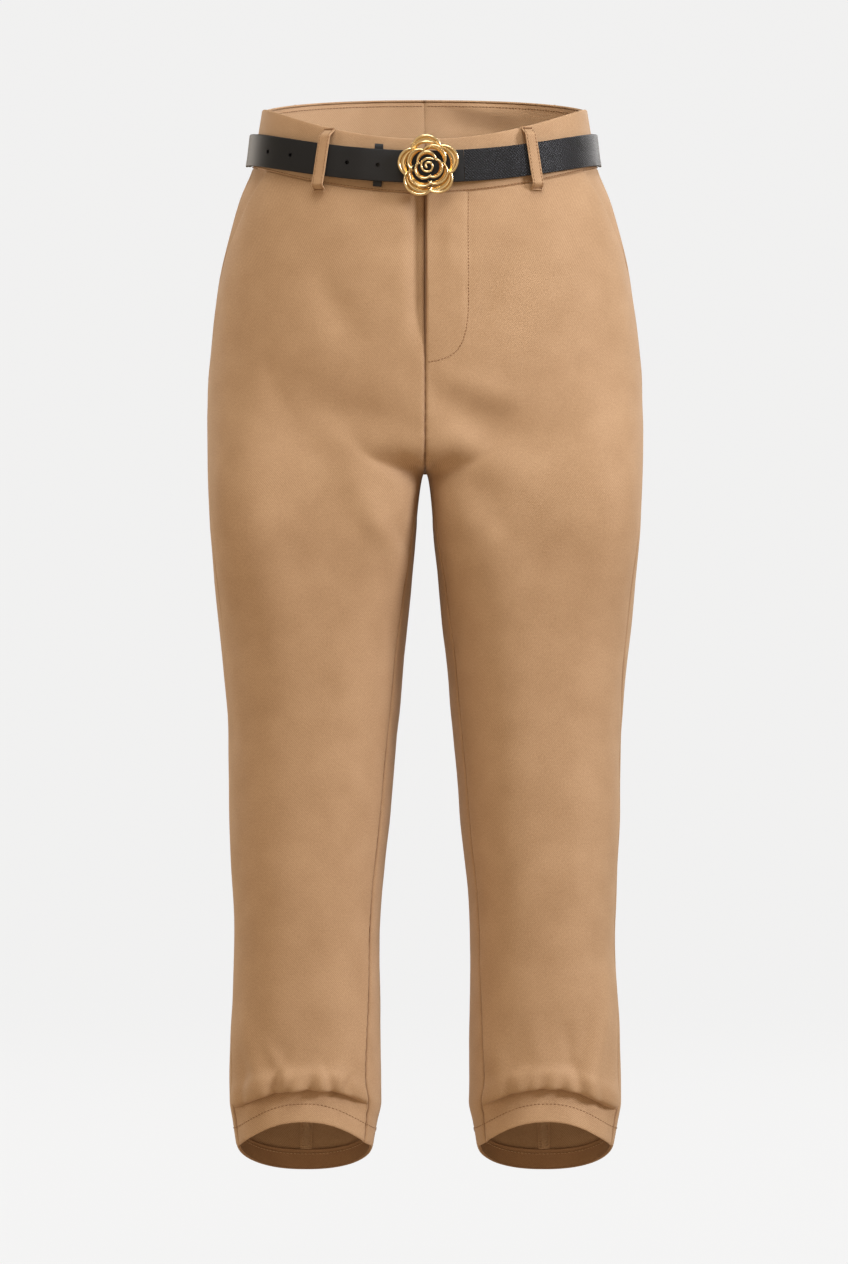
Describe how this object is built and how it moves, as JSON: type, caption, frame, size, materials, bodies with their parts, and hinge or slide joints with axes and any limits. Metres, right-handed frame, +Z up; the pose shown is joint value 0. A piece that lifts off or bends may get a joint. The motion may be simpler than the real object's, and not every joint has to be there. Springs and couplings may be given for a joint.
{
  "type": "trousers",
  "caption": "High-waisted straight-leg ankle trousers, filled out as if worn, with belt loops, a leather belt and an openwork rose buckle.",
  "frame": {"origin": "middle of the waist at the height of the belt, where a wearer holds the trousers up", "axes": "+Z up the body, -Y out of the front, +X towards the wearer's left"},
  "size_m": [0.3802, 0.2515, 0.9429],
  "materials": {
    "camel_twill": "fine diagonal twill, matt, camel brown",
    "camel_twill_inside": "the inner side of the same twill, matt",
    "belt_leather": "near-black leather, finely grained on the outer run and smooth on the tail",
    "gold": "polished yellow gold plating"
  },
  "bodies": {
    "root": {"front_right": "camel_twill", "front_left": "camel_twill", "back_outer_right": "camel_twill", "back_outer_left": "camel_twill", "back_inner_right": "camel_twill", "back_inner_left": "camel_twill", "pocket_facing_right": "camel_twill", "pocket_facing_left": "camel_twill", "waistband_right": "camel_twill", "waistband_left": "camel_twill", "belt_loop_front_right": "camel_twill", "belt_loop_front_left": "camel_twill", "belt_loop_back_right": "camel_twill", "belt_loop_back_left": "camel_twill", "belt_loop_back_middle": "camel_twill", "waistband_facing_right": "camel_twill_inside", "waistband_facing_left": "camel_twill_inside", "fly_facing": "camel_twill_inside", "fly_shield": "camel_twill_inside", "hem_right": "camel_twill_inside", "hem_left": "camel_twill_inside", "back_allowance_right": "camel_twill_inside", "back_allowance_left": "camel_twill_inside", "belt_strap": "belt_leather", "belt_keeper": "belt_leather", "buckle_rose": "gold", "buckle_staple": "gold", "buckle_stud": "gold"}
  },
  "joints": []
}
